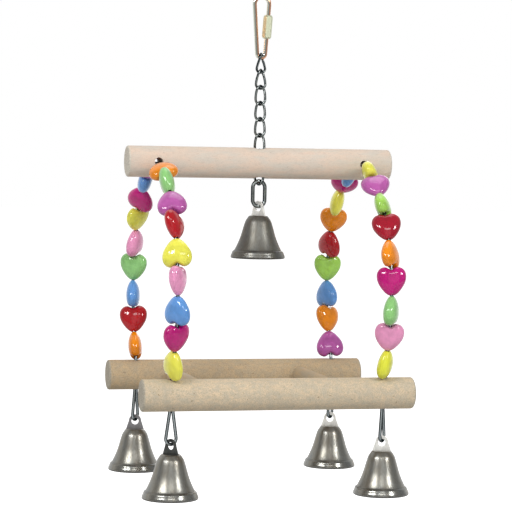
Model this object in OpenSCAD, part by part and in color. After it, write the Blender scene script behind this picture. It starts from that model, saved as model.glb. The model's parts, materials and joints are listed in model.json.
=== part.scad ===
// Bird swing: a wooden beam hung on a twisted-link chain, two wires of heart beads
// that arch down to a pair of perch rails, and five little bells.
// Origin: the hang point, inside the top of the hanger link. X runs along the beam,
// -Y is the front, +Z is up.

/* [Wood] */
// Diameter of the beam and of both perch rails
dowel_d = 15; // [13:0.5:17]
// Length of the beam and of both perch rails
dowel_len = 131; // [120:1:150]
// Rounding of the dowels' end edges
dowel_edge_r = 1; // [0.5:0.1:2]
// Distance between the rails' axes
rail_gap = 91; // [85:1:96]
// Height of the beam's axis above the rails' axes
rail_drop = 107.6; // [104:0.4:112]
// Diameter of the rungs between the rails
rung_d = 8; // [6:0.5:9]
// Distance between the rungs' axes
rung_spacing = 66; // [50:1:80]
// Depth of the socket that each rung end sits in
rung_seat = 5; // [3:0.5:6]

/* [Hanger link] */
// Overall height of the hanger link
hanger_h = 31.5; // [29:0.5:36]
// Overall width across the hanger's wide top
hanger_top_w = 9.3; // [8.5:0.1:11]
// Overall width across the hanger's narrow foot
hanger_foot_w = 6.1; // [6:0.1:6.6]
// Wire of the hanger link
hanger_wire_d = 2.1; // [1.9:0.1:2.2]
// Length of the screw sleeve that closes the hanger
sleeve_len = 11.3; // [10:0.1:12]
// Width across the flats of the screw sleeve
sleeve_af = 4; // [3.6:0.1:4.4]
// Distance from the hanger's top to the middle of the sleeve
sleeve_drop = 15.6; // [15:0.1:16]
// Opening in the hanger's leg that the sleeve covers
hanger_gap = 3; // [2.4:0.1:3.2]

/* [Chain] */
// Number of twisted links
link_count = 8; // [8:1:9]
// Overall length of one link
link_len = 10.3; // [10:0.05:10.7]
// Overall width of one link
link_w = 5.8; // [5.5:0.1:6]
// Wire of the links
link_wire_d = 1.2; // [1:0.05:1.3]
// Angle that a link twists from end to end
link_twist = 90; // [80:1:100]

/* [Centre ring] */
// Overall height of the ring that holds the chain's end and carries the middle bell
ring_h = 14.2; // [13:0.1:16]
// Overall width of the ring
ring_w = 8.2; // [8:0.1:9]
// Wire of the ring
ring_wire_d = 1.85; // [1.6:0.05:2]

/* [Bead wires] */
// Distance between the two bead wires
wire_spacing = 102; // [96:1:108]
// Diameter of the bead wires
wire_d = 1.6; // [1.4:0.1:1.7]
// Angle at which a strand leans outward above its rail
strand_lean = 24; // [18:1:26]
// Straight stretch of a strand above its rail
strand_foot = 12; // [8:0.5:16]
// Length of the bell loops below the rails
loop_len = 16.1; // [14:0.1:18]
// Overall width of the bell loops
loop_w = 7; // [6.4:0.1:7.6]

/* [Beads] */
// Width of a heart bead across its lobes
bead_w = 13.9; // [13:0.1:14.4]
// Thickness of a heart bead
bead_t = 6.9; // [6.4:0.1:7.2]
// Diameter of the hole through a bead, from cleft to point
bead_bore_d = 2.6; // [2.5:0.1:3]
// How far two beads nest where their clefts face each other
bead_nest = 0.9; // [0.6:0.05:1]

/* [Bells] */
// Diameter of a bell's mouth
bell_mouth_d = 26.5; // [24:0.5:28]
// Height of a bell's shell
bell_h = 20.5; // [19:0.5:22]
// Diameter of a bell's flat crown, with its rounded corner
bell_crown_d = 12.8; // [11:0.1:14]
// Thickness of a bell's wall
bell_wall = 0.9; // [0.7:0.1:1.1]
// Width of the bell's ear where it stands on the crown
ear_foot_w = 9.3; // [8.6:0.1:10]
// Width of the bell's ear at its rounded top
ear_top_w = 6.2; // [5.8:0.1:6.8]
// Height of the ear above the crown
ear_h = 7.4; // [7:0.1:8]
// Thickness of the ear
ear_t = 0.8; // [0.6:0.1:1]
// Height of the ear's hole above the crown
ear_hole_up = 4.1; // [3.8:0.1:4.3]
// Diameter of the ear's hole
ear_hole_d = 3.6; // [3.2:0.1:3.8]
// Diameter of the clapper's ball
clapper_d = 6; // [5:0.1:6.4]

/* [Clearances] */
// Slack between two wires that hang in each other
hook_slack = 0.15; // [0.1:0.05:0.2]
// Gap between pieces that seat on each other
seat_gap = 0.3; // [0.2:0.05:0.4]
// Gap between two beads whose points face each other
bead_gap = 0.35; // [0.3:0.05:0.4]
// Room round a wire or the chain in its hole in the wood
hole_room = 0.35; // [0.3:0.05:0.4]
// Radial clearance of a sleeve or a rung in its bore
fit_gap = 0.05; // [0.02:0.01:0.1]

/* [Hidden] */
// Colours, as red, green and blue shares
BEECH = [0.86, 0.79, 0.72];
BIRCH = [0.75, 0.67, 0.55];
STEEL = [0.62, 0.64, 0.62];
NICKEL = [0.34, 0.37, 0.38];
PEWTER = [0.45, 0.44, 0.42];
ORANGE = [0.90, 0.55, 0.05];
MINT = [0.49, 0.78, 0.43];
LIME = [0.59, 0.82, 0.24];
ORCHID = [0.70, 0.31, 0.66];
MAGENTA = [0.75, 0.00, 0.49];
RED = [0.72, 0.08, 0.14];
YELLOW = [0.90, 0.88, 0.27];
PINK = [0.88, 0.55, 0.74];
BLUE = [0.33, 0.56, 0.82];

// Smoothness of round pieces
$fn = 48;
// Sides of the small wires' tubes
wire_sides = 6;
// Sides of the bead wires' tubes
wire_facets = 8;
// Overrun of a cutter past the face it cuts
overrun = 1;

// Heights of the chain's joints, counted down from the hanger's foot
joint_pitch = link_len - 2 * link_wire_d - hook_slack;
hanger_foot_z = -(hanger_h - 2 * hanger_wire_d);
function joint_z(n) = hanger_foot_z + hook_slack / 2 - n * joint_pitch;
chain_end_z = joint_z(link_count);

// The ring's top wire lies on the last link and carries the beam
ring_top_z = chain_end_z + hook_slack / 2 + ring_wire_d;
beam_z = ring_top_z + seat_gap + dowel_d / 2;
rail_z = beam_z - rail_drop;
rail_y = rail_gap / 2;
wire_x = wire_spacing / 2;
chain_hole_d = link_w + 2 * hole_room;

// The four strands: name, side along X, side along Y
STRANDS = [
    ["front_left", -1, -1],
    ["back_left", -1, 1],
    ["front_right", 1, -1],
    ["back_right", 1, 1]
];
strand_beads = 9;

// Colours of the beads, from the beam down to the rail
BEAD_COLOURS = [
    [ORANGE, MINT, ORCHID, RED, YELLOW, PINK, BLUE, MAGENTA, YELLOW],
    [ORCHID, BLUE, MAGENTA, YELLOW, PINK, MINT, BLUE, RED, ORANGE],
    [YELLOW, ORCHID, LIME, RED, ORANGE, MAGENTA, MINT, PINK, YELLOW],
    [BLUE, MAGENTA, YELLOW, ORANGE, RED, LIME, BLUE, ORANGE, ORCHID]
];

// Turn of each bead about the wire, in degrees, 0 with its face to the front
BEAD_TURNS = [
    [-14, 72, -14, 52, -22, 58, -52, 28, -74],
    [-14, 71, -40, 36, 56, -30, 74, -14, 76],
    [66, -14, 61, -14, 50, -20, 61, -14, 61],
    [70, -14, 71, -14, -60, -10, -64, 28, -10]
];

// Turn of each bell loop and of each corner bell about the vertical, in degrees
LOOP_TURNS = [16, 52, 52, 52];
BELL_TURNS = [-50, -12, -12, -12];
ring_turn = 10;
centre_bell_turn = -56;

// Turn of each link about the vertical: the first and the last one follow what they
// hook, and their neighbours go half of the way
first_link_turn = 40;
last_link_turn = -28;
function link_turn(n) =
    first_link_turn * max(0, 3 - n) / 2 + last_link_turn * max(0, n - link_count + 2) / 2;

function bead_name(s, n) = str(s[0], "_bead_", n);

// Two triangles between each pair of neighbouring points of rings a and b
function band_faces(a, b, sides) = [
    for (j = [0:sides - 1])
        let (k = (j + 1) % sides)
        each [
            [a * sides + j, b * sides + k, a * sides + k],
            [a * sides + j, b * sides + j, b * sides + k]
        ]
];
function unit(v) = v / norm(v);
function reverse(list) = [for (i = [len(list) - 1:-1:0]) list[i]];

// Ring of points round p, square to the direction d, with one side towards up
function ring_at(p, d, up, r, sides) =
    let (a = unit(cross(d, up)), b = cross(a, d))
    [for (j = [0:sides - 1])
        p + r * (cos(360 * j / sides) * a + sin(360 * j / sides) * b)];

// Open tube through the points: each ring is square to the path's mean direction there,
// and carries on the turn of the ring before it
function square_to(u, d) = unit(u - (u * d) * d);
module open_tube(points, r, sides) {
    last = len(points) - 1;
    dirs = [for (i = [0:last]) unit(points[min(i + 1, last)] - points[max(i - 1, 0)])];
    rings = [
        for (i = 0, u = square_to([1, 0, 0], dirs[0]);
                i <= last;
                i = i + 1, u = square_to(u, dirs[min(i, last)]))
            ring_at(points[i], dirs[i], u, r, sides)
    ];
    polyhedron([for (ring = rings) each ring],
        concat(
            [for (i = [0:last - 1]) each band_faces(i, i + 1, sides)],
            [[for (j = [0:sides - 1]) j], [for (j = [sides - 1:-1:0]) last * sides + j]]
        ));
}

// Closed tube through a loop of points, with a direction for each ring's flat side
module closed_tube(points, ups, r, sides) {
    n = len(points);
    rings = [for (i = [0:n - 1])
        ring_at(points[i], unit(points[(i + 1) % n] - points[(i + n - 1) % n]), ups[i], r, sides)];
    polyhedron([for (ring = rings) each ring],
        [for (i = [0:n - 1]) each band_faces(i, (i + 1) % n, sides)]);
}

// Points of an arc round c in the plane of the directions u and v
function arc_points(c, r, u, v, from, to, steps) = [
    for (i = [0:steps]) let (a = from + (to - from) * i / steps) c + r * (cos(a) * u + sin(a) * v)
];

// A bent round bar: a piece of torus round the Z axis
module bent_bar(bend_r, bar_d, from, to) {
    rotate([0, 0, from])
        rotate_extrude(angle = to - from)
            translate([bend_r, 0])
                circle(d = bar_d);
}

// Size of the knee that joins two stretches of a bent wire, as a share of the wire
knee_share = 1.03;

module knee(p, d)
    translate(p)
        sphere(d = d * knee_share);

// A dowel along X with rounded end edges
module dowel(length, d, edge) {
    rotate([0, 90, 0])
        rotate_extrude()
            difference() {
                translate([0, -length / 2])
                    square([d / 2, length]);
                for (end = [-1, 1])
                    scale([1, end])
                        translate([d / 2 - edge, length / 2 - edge])
                            difference() {
                                square(edge + overrun);
                                circle(edge);
                            }
            }
}

// Hanger link: two arcs of unlike size and the straight legs that are tangent to both
top_bend_r = (hanger_top_w - hanger_wire_d) / 2;
foot_bend_r = (hanger_foot_w - hanger_wire_d) / 2;
top_bend_z = -(top_bend_r - hanger_wire_d / 2);
foot_bend_z = hanger_foot_z + foot_bend_r - hanger_wire_d / 2;
bend_gap = top_bend_z - foot_bend_z;
leg_slant = asin((top_bend_r - foot_bend_r) / bend_gap);
leg_len = bend_gap * cos(leg_slant);

// Along the right leg: distance from its upper end to the middle of the sleeve
sleeve_down = (sleeve_drop - hanger_wire_d + top_bend_z) / cos(leg_slant)
    - top_bend_r * tan(leg_slant);
gap_end = sleeve_down + sleeve_len / 2 - hanger_wire_d * 0.75;
gap_start = gap_end - hanger_gap;
sleeve_travel = hanger_gap + hanger_wire_d * 0.8;

// Places its children at the top of the right leg, with +Z up along the leg
module on_right_leg() {
    translate([0, 0, top_bend_z])
        rotate([0, leg_slant, 0])
            translate([top_bend_r, 0, 0])
                children();
}

module hanger_link() color(STEEL)
    union() {
        translate([0, 0, top_bend_z])
            rotate([90, 0, 0])
                bent_bar(top_bend_r, hanger_wire_d, -leg_slant, 180 + leg_slant);
        translate([0, 0, foot_bend_z])
            rotate([90, 0, 0])
                bent_bar(foot_bend_r, hanger_wire_d, 180 + leg_slant, 360 - leg_slant);
        on_right_leg() {
            translate([0, 0, -gap_start])
                cylinder(h = gap_start, d = hanger_wire_d);
            translate([0, 0, -leg_len])
                cylinder(h = leg_len - gap_end, d = hanger_wire_d);
            knee([0, 0, 0], hanger_wire_d);
            knee([0, 0, -leg_len], hanger_wire_d);
        }
        rotate([0, 0, 180])
            on_right_leg() {
                translate([0, 0, -leg_len])
                    cylinder(h = leg_len, d = hanger_wire_d);
                knee([0, 0, 0], hanger_wire_d);
                knee([0, 0, -leg_len], hanger_wire_d);
            }
    }

module hanger_sleeve() color(STEEL)
    on_right_leg()
        translate([0, 0, -sleeve_down])
            difference() {
                intersection() {
                    cylinder(h = sleeve_len, d = sleeve_af / cos(30), center = true, $fn = 6);
                    union() {
                        cylinder(h = sleeve_len - sleeve_af / 2, d = sleeve_af * 2, center = true);
                        for (end = [0, 1])
                            rotate([180 * end, 0, 0])
                                translate([0, 0, sleeve_len / 2 - sleeve_af / 4])
                                    cylinder(h = sleeve_af / 4, d1 = sleeve_af / cos(30),
                                        d2 = sleeve_af * 0.86);
                    }
                }
                cylinder(h = sleeve_len + overrun, d = hanger_wire_d + 2 * fit_gap, center = true);
            }

// Twisted link: an oval of wire whose plane turns by link_twist from its top to its foot
link_bend_r = (link_w - link_wire_d) / 2;
link_leg = link_len - link_w;
link_half = (link_len - link_wire_d) / 2;
function twist_point(p) =
    let (a = link_twist / 2 * p[2] / link_half)
    [p[0] * cos(a), p[0] * sin(a), p[2]];
function oval_points(bend_r, leg, steps) = concat(
    arc_points([0, 0, leg / 2], bend_r, [1, 0, 0], [0, 0, 1], 0, 180, steps),
    [for (z = [1, -1]) [-bend_r, 0, z * leg / 6]],
    arc_points([0, 0, -leg / 2], bend_r, [1, 0, 0], [0, 0, 1], 180, 360, steps),
    [for (z = [-1, 1]) [bend_r, 0, z * leg / 6]]
);

module chain_link(n) color(NICKEL)
    translate([0, 0, (joint_z(n - 1) + joint_z(n)) / 2])
        rotate([0, 0, link_turn(n)]) {
            flat = oval_points(link_bend_r, link_leg, 8);
            turns = [for (p = flat) link_twist / 2 * p[2] / link_half];
            closed_tube([for (p = flat) twist_point(p)],
                [for (a = turns) [-sin(a), cos(a), 0]], link_wire_d / 2, wire_sides);
        }

// Beam: one hole for the chain, and two holes from front to back for the bead wires
wire_eye_gap = wire_d / 2 + hook_slack / 2;
rail_hole_d = 2 * (wire_eye_gap + wire_d / 2 + hole_room);

module beam() color(BEECH)
    translate([0, 0, beam_z])
        difference() {
            dowel(dowel_len, dowel_d, dowel_edge_r);
            cylinder(h = dowel_d + overrun, d = chain_hole_d, center = true);
            for (side = [-1, 1])
                translate([side * wire_x, 0, 0])
                    rotate([90, 0, 0])
                        cylinder(h = dowel_d + overrun, d = rail_hole_d, center = true);
        }

// Rail: two upright holes for the bead wires, and two sockets for the rungs
module rail(side) color(BIRCH)
    translate([0, side * rail_y, rail_z])
        difference() {
            dowel(dowel_len, dowel_d, dowel_edge_r);
            for (end = [-1, 1]) {
                translate([end * wire_x, 0, 0])
                    cylinder(h = dowel_d + overrun, d = rail_hole_d, center = true);
                translate([end * rung_spacing / 2, 0, 0])
                    rotate([90 * side, 0, 0])
                        translate([0, 0, dowel_d / 2 - rung_seat])
                            cylinder(h = rung_seat + overrun, d = rung_d + 2 * fit_gap);
            }
        }

module rung(side) color(BEECH)
    translate([side * rung_spacing / 2, 0, rail_z])
        rotate([90, 0, 0])
            cylinder(h = rail_gap - dowel_d + 2 * rung_seat - 2 * fit_gap, d = rung_d,
                center = true);

// A strand, in its own plane: first number outward from the beam's axis, second up.
// It leaves the beam level, turns down in a short bend, runs round one long arc, then
// straight to the rail, where a second short bend brings it upright.
short_bend_r = 5 * wire_d;
beam_wire_z = beam_z - (rail_hole_d - wire_d) / 2 + seat_gap;
beam_bend = [dowel_d / 2 - wire_d, beam_wire_z];
rail_bend_z = rail_z + dowel_d / 2 - wire_d;
foot_start = [
    rail_y + short_bend_r * (1 - cos(strand_lean)),
    rail_bend_z + short_bend_r * sin(strand_lean)
];
foot_dir = [sin(strand_lean), cos(strand_lean)];
foot_end = foot_start + strand_foot * foot_dir;
foot_in = [-cos(strand_lean), sin(strand_lean)];
beam_bend_centre = beam_bend - [0, short_bend_r];
bend_to_foot = foot_end - beam_bend_centre;
arch_r = (short_bend_r ^ 2 - bend_to_foot * bend_to_foot)
    / (2 * (bend_to_foot * foot_in + short_bend_r));
arch_centre = foot_end + arch_r * foot_in;
arch_to_bend = beam_bend_centre - arch_centre;
arch_top = atan2(arch_to_bend[1], arch_to_bend[0]);
arch_low = -strand_lean;
arch_len = arch_r * (arch_top - arch_low) * PI / 180;
strand_len = strand_foot + arch_len;

// Point of a strand at a distance s along it, counted from the foot's start
function strand_at(s) =
    s < strand_foot
        ? foot_start + s * foot_dir
        : let (a = arch_low + (s - strand_foot) / arch_r * 180 / PI)
            arch_centre + arch_r * [cos(a), sin(a)];

// Places of the beads on a strand. Beads alternate: point up, point down. Two clefts
// that face each other nest, and two points that face each other stand a gap apart.
function lobe_rise(cleft, lift) = sqrt(cleft ^ 2 + lift ^ 2);
cleft_share = 0.90;
lift_share = 0.68;
bead_half = bead_w / 2;
bead_lobe_z = bead_half * lobe_rise(cleft_share, lift_share);
bead_tip_z = -bead_half * cleft_share * sqrt(1 - (bead_bore_d / bead_t) ^ 2);
bead_len = bead_lobe_z - bead_tip_z;
bead_mid_z = (bead_lobe_z + bead_tip_z) / 2;
point_pitch = bead_len + bead_gap;
cleft_pitch = bead_len - bead_nest;
bead_lift = 3 * seat_gap;
foot_overlap = norm(foot_start - [rail_y, rail_z + dowel_d / 2]);
function bead_s(n) =
    let (up = strand_beads - n)
    bead_lift - foot_overlap + bead_len / 2
        + ceil(up / 2) * point_pitch + floor(up / 2) * cleft_pitch;

// A bead's axis is the chord under it, moved half way out to the arc
function bead_low(n) = strand_at(bead_s(n) - bead_len / 2);
function bead_high(n) = strand_at(bead_s(n) + bead_len / 2);
function bead_mid(n) = ((bead_low(n) + bead_high(n)) / 2 + strand_at(bead_s(n))) / 2;
function bead_slope(n) = let (d = bead_high(n) - bead_low(n)) atan2(d[0], d[1]);

// Outline of a heart: cleft up, point down, as shares of half its width
function heart(t) = [sin(t), cleft_share * cos(t) + lift_share * abs(sin(t))];
heart_steps = 22;
// Sizes of the heart's rings, from the middle of its face to the rim
RING_SHARES = [0.5, 0.86, 1];
puff = len(RING_SHARES);
function heart_ring(share, side) = [
    for (i = [0:heart_steps - 1])
        let (p = share * bead_half * heart(360 * i / heart_steps))
        [p[0], side * bead_t / 2 * sqrt(1 - share ^ 2), p[1]]
];

module heart_bead() {
    rings = concat(
        [for (i = [0:puff - 1]) heart_ring(RING_SHARES[i], -1)],
        [for (i = [puff - 2:-1:0]) heart_ring(RING_SHARES[i], 1)]
    );
    count = len(rings);
    pole = count * heart_steps;
    translate([0, 0, -bead_mid_z])
        difference() {
            polyhedron(
                concat([for (ring = rings) each ring], [[0, -bead_t / 2, 0], [0, bead_t / 2, 0]]),
                concat(
                    [for (i = [0:count - 2]) each band_faces(i, i + 1, heart_steps)],
                    [for (j = [0:heart_steps - 1]) [pole, j, (j + 1) % heart_steps]],
                    [for (j = [0:heart_steps - 1])
                        [pole + 1, pole - heart_steps + (j + 1) % heart_steps,
                            pole - heart_steps + j]]
                )
            );
            cylinder(h = 2 * bead_w, d = bead_bore_d, center = true);
        }
}

// A bead on its strand: odd beads point up the wire, even ones down
module bead(k, n) color(BEAD_COLOURS[k][n - 1]) {
    s = STRANDS[k];
    mid = bead_mid(n);
    translate([s[1] * wire_x, s[2] * mid[0], mid[1]])
        rotate([-s[2] * bead_slope(n), 0, 0])
            rotate([0, 0, BEAD_TURNS[k][n - 1]])
                rotate([n % 2 == 1 ? 180 : 0, 0, 0])
                    heart_bead();
}

// The first and the last bead of the two strands on one side
module end_beads(front, back)
    for (k = [front, back], n = [1, strand_beads])
        bead(k, n);

// Bell loop, in its own plane: both of the wire's legs come out of the rail's hole side
// by side, bend apart, and run straight to a round foot. The loose end is tucked back up
// into the hole; the other leg leans across the hole to the strand above it.
loop_top_z = rail_z - dowel_d / 2;
loop_r = (loop_w - wire_d) / 2;
neck_r = 3 * wire_d;
loop_drop = loop_len - wire_d / 2 - loop_r;
loop_tuck = dowel_d / 3;
neck_to_foot = [wire_eye_gap + neck_r, loop_drop];
loop_spread = asin((neck_r + loop_r) / norm(neck_to_foot))
    - atan2(neck_to_foot[0], neck_to_foot[1]);

// Points of one leg from the rail's underside to the foot, on one side of the hole
function neck_points(side) = [
    for (p = arc_points([wire_eye_gap + neck_r, 0], neck_r, [1, 0], [0, 1], 180,
            180 + loop_spread, 2))
        [side * p[0], p[1]]
];
function loop_outline() = concat(
    [[wire_eye_gap, loop_tuck]],
    neck_points(1),
    arc_points([0, -loop_drop], loop_r, [1, 0], [0, 1], loop_spread, -180 - loop_spread, 12),
    reverse(neck_points(-1)),
    [[-wire_eye_gap, wire_d]]
);
function loop_points(k) =
    let (x = STRANDS[k][1] * wire_x, y = STRANDS[k][2] * rail_y, a = LOOP_TURNS[k])
    [for (p = loop_outline()) [x + p[0] * cos(a), y + p[0] * sin(a), loop_top_z + p[1]]];

// One strand of wire, from the top of the rail's hole to the beam, in its own plane
function strand_outline() = concat(
    arc_points([rail_y + short_bend_r, rail_bend_z], short_bend_r, [1, 0], [0, 1], 180,
        180 - strand_lean, 3),
    arc_points(arch_centre, arch_r, [1, 0], [0, 1], arch_low, arch_top, 20),
    arc_points(beam_bend_centre, short_bend_r, [1, 0], [0, 1], (arch_top + 90) / 2, 90, 1)
);
function strand_points(k) =
    [for (p = strand_outline()) [STRANDS[k][1] * wire_x, STRANDS[k][2] * p[0], p[1]]];

// Both ends of one wire: front loop, front strand, beam, back strand, back loop
module bead_wire(front, back) color(STEEL)
    open_tube(concat(loop_points(front), strand_points(front),
            reverse(strand_points(back)), reverse(loop_points(back))),
        wire_d / 2, wire_facets);

// Centre ring: an upright oval of wire
ring_bend_r = (ring_w - ring_wire_d) / 2;
ring_leg = ring_h - ring_w;
ring_mid_z = ring_top_z - ring_h / 2;

module centre_ring() color(NICKEL)
    translate([0, 0, ring_mid_z])
        rotate([0, 0, ring_turn]) {
            for (end = [0, 1])
                rotate([180 * end, 0, 0])
                    translate([0, 0, ring_leg / 2])
                        rotate([90, 0, 0])
                            bent_bar(ring_bend_r, ring_wire_d, 0, 180);
            for (side = [-1, 1])
                translate([side * ring_bend_r, 0, -ring_leg / 2])
                    cylinder(h = ring_leg, d = ring_wire_d);
        }

// Bell: a turned shell with a flared lip, a flat ear on its crown, and a staple inside
// Height of the lip, where the waist ends, as a share of the shell's height
lip_share = 0.28;
// How the waist widens on its way down, as shares of the mouth's radius
taper_share = 0.335;
flare_share = 0.012;
bell_r = bell_mouth_d / 2;
crown_r = bell_crown_d / 2;
waist_h = bell_h * (1 - lip_share);
corner_r = bell_crown_d / 7;
waist_steps = 7;
function waist_r(u) = crown_r + bell_r * (taper_share * u + flare_share * u ^ 3);
function shell_outline(inset) = concat(
    [[0, -inset]],
    arc_points([crown_r - corner_r, -corner_r], corner_r - inset, [1, 0], [0, 1], 90, 15, 3),
    [for (i = [1:waist_steps]) [waist_r(i / waist_steps) - inset, -waist_h * i / waist_steps]]
);
// The lip's outline outside: shares of the way from the waist's foot to the mouth, out and down
LIP_SHARES = [[0.12, 0.06], [0.42, 0.25], [0.62, 0.4], [0.88, 0.66], [1, 0.86], [0.97, 0.96], [0.88, 1]];
lip_h = bell_h - waist_h;
lip_out = bell_r - waist_r(1);

module bell_shell()
    rotate_extrude()
        polygon(concat(
            shell_outline(0),
            [for (p = LIP_SHARES) [waist_r(1) + p[0] * lip_out, -waist_h - p[1] * lip_h]],
            [
                [bell_r - bell_wall, -bell_h + bell_wall / 4],
                [bell_r - 1.2 * bell_wall, -bell_h + lip_h * 0.2],
                [waist_r(1) - bell_wall + lip_out * 0.45, -waist_h - lip_h * 0.42],
                [waist_r(1) - bell_wall + lip_out * 0.1, -waist_h - lip_h * 0.16]
            ],
            reverse(shell_outline(bell_wall))
        ));

module bell_ear()
    rotate([90, 0, 0])
        linear_extrude(ear_t, center = true)
            difference() {
                union() {
                    polygon([
                        [-ear_foot_w / 2, -bell_wall / 2],
                        [ear_foot_w / 2, -bell_wall / 2],
                        [ear_top_w / 2, ear_h - ear_top_w / 2],
                        [-ear_top_w / 2, ear_h - ear_top_w / 2]
                    ]);
                    translate([0, ear_h - ear_top_w / 2])
                        circle(d = ear_top_w);
                }
                translate([0, ear_hole_up])
                    circle(d = ear_hole_d);
            }

// Staple that the clapper hangs in, under the crown
staple_d = bell_wall;
staple_r = 1.5 * staple_d;
staple_leg = staple_d * 0.7;

module bell_staple()
    translate([0, 0, -bell_wall]) {
        translate([0, 0, -staple_leg])
            rotate([90, 0, 0])
                bent_bar(staple_r, staple_d, 180, 360);
        for (side = [-1, 1])
            translate([side * staple_r, 0, -staple_leg])
                cylinder(h = staple_leg + bell_wall / 2, d = staple_d);
    }

module bell() color(PEWTER) {
    bell_shell();
    bell_ear();
    bell_staple();
    cylinder(h = bell_wall * 0.6, d = ear_foot_w * 1.08);
}

// Clapper: an eye that hangs in the staple, a shank and a ball
eye_d = staple_d;
eye_r = 1.5 * eye_d;
staple_foot_z = -bell_wall - staple_leg - staple_r;
eye_z = staple_foot_z + staple_d / 2 - eye_r + eye_d / 2 + hook_slack;
ball_z = -bell_h + clapper_d / 2 + lip_h / 3;

module clapper() color(NICKEL) {
    translate([0, 0, eye_z])
        rotate([0, 90, 0])
            rotate_extrude()
                translate([eye_r, 0])
                    circle(d = eye_d);
    translate([0, 0, ball_z])
        sphere(d = clapper_d);
    translate([0, 0, ball_z])
        cylinder(h = eye_z - eye_r - ball_z, d = eye_d);
}

// A bell's crown lies below the wire that it hangs on: wire_z is the wire's middle
function crown_z(wire_z, d) = wire_z + d / 2 - ear_hole_d / 2 + 2 * hook_slack - ear_hole_up;
loop_wire_z = loop_top_z - loop_drop - loop_r;
ring_wire_z = ring_top_z - ring_h + ring_wire_d / 2;

module at_corner_bell(k)
    translate([STRANDS[k][1] * wire_x, STRANDS[k][2] * rail_y, crown_z(loop_wire_z, wire_d)])
        rotate([0, 0, BELL_TURNS[k]])
            children();

module at_centre_bell()
    translate([0, 0, crown_z(ring_wire_z, ring_wire_d)])
        rotate([0, 0, centre_bell_turn])
            children();

hanger_link();
hanger_sleeve();
for (n = [1:link_count])
    chain_link(n);
beam();
rail(-1);  // front_rail
rail(1);  // back_rail
rung(-1);  // left_rung
rung(1);  // right_rung
bead_wire(0, 1);  // left_wire
bead_wire(2, 3);  // right_wire
centre_ring();
for (k = [0:len(STRANDS) - 1], n = [2:strand_beads - 1])
    bead(k, n);
end_beads(0, 1);  // left_end_beads
end_beads(2, 3);  // right_end_beads
for (k = [0:len(STRANDS) - 1]) {
    at_corner_bell(k) bell();
    at_corner_bell(k) clapper();
}
at_centre_bell() bell();  // centre_bell
at_centre_bell() clapper();  // centre_clapper
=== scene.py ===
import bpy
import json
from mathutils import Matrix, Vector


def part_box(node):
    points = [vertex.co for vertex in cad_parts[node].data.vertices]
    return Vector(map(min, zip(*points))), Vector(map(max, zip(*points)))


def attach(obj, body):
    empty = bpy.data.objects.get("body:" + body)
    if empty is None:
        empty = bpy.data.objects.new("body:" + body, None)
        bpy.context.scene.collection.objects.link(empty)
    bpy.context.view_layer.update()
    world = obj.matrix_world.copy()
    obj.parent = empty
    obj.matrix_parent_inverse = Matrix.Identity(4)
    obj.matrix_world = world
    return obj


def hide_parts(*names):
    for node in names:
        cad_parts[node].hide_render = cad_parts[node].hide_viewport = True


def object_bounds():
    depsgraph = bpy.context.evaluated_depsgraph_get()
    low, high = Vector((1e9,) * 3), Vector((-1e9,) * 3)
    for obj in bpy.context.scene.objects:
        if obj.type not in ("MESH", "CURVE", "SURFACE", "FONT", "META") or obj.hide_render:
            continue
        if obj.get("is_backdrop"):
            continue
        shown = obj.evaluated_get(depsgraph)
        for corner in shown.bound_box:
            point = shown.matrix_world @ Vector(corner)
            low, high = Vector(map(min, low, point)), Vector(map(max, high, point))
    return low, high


bl_info = {
    "name": "Bird Swing",
    "version": (1, 0, 0),
    "blender": (4, 5, 0),
    "location": "3D View > Sidebar > Bird Swing",
    "description": "Dresses the frame of a beaded wooden bird swing with bells",
    "category": "Object",
}

import json
import math

import bmesh
import bpy
from bpy.props import FloatProperty, FloatVectorProperty, PointerProperty
from mathutils import Matrix, Vector

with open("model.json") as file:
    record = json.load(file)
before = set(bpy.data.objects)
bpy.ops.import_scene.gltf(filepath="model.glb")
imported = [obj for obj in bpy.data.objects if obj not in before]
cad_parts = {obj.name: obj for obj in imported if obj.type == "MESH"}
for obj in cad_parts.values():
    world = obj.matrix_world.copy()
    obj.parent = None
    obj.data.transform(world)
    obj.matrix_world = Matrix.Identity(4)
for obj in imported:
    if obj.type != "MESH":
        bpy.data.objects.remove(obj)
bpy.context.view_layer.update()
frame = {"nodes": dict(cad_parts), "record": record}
MM = 0.001
# The strands: name, and their sides along X and Y
CORNERS = (("front_left", -1, -1), ("back_left", -1, 1), ("front_right", 1, -1), ("back_right", 1, 1))
BEADS_A_STRAND = 9

# Colours of the beads, from the beam down to the rail
BEAD_COLOURS = {
    "front_left": "orange mint orchid red yellow pink blue magenta yellow",
    "back_left": "orchid blue magenta yellow pink mint blue red orange",
    "front_right": "yellow orchid lime dark_red orange magenta mint pink lemon",
    "back_right": "blue magenta yellow orange red lime blue orange orchid",
}
# Turn of each bead about its wire, in degrees, as in the solids
BEAD_TURNS = {
    "front_left": (-14, 72, -14, 52, -22, 58, -52, 28, -74),
    "back_left": (-14, 71, -40, 36, 56, -30, 74, -14, 76),
    "front_right": (66, -14, 61, -14, 50, -20, 61, -14, 61),
    "back_right": (70, -14, 71, -14, -60, -10, -64, 28, -10),
}
# Turns of the bell loops and of the bells' ears about the upright, in degrees
LOOP_TURNS = {"front_left": 16, "back_left": 52, "front_right": 52, "back_right": 52}
BELL_TURNS = {"front_left": -50, "back_left": -12, "front_right": -12, "back_right": -12, "centre": -56}
# Painted light on the bells' ears, as lit and shaded copies of one plate: bright where none is named, and
# painted shade makes the named ones grey or dark
EAR_PAINTED_LIGHT = {"front_left": "Dark", "back_left": "Grey"}
# Way across the wires, the camera's right: the hanger's painted warm reflection faces it, and painted shade
# lies on both sides along it
ACROSS = (0.971, -0.238, 0)

# Radii of the wires' bends, in wire diameters: in the wood, and at the neck of a bell loop
BEND_RADII, NECK_RADII = 5, 3
# Half the slack between a wire and what hangs in it
HALF_SLACK = 0.075 * MM
# Length of the lower wire end that the closed sleeve holds, in wire diameters
SLEEVE_GRIP = 0.75
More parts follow.
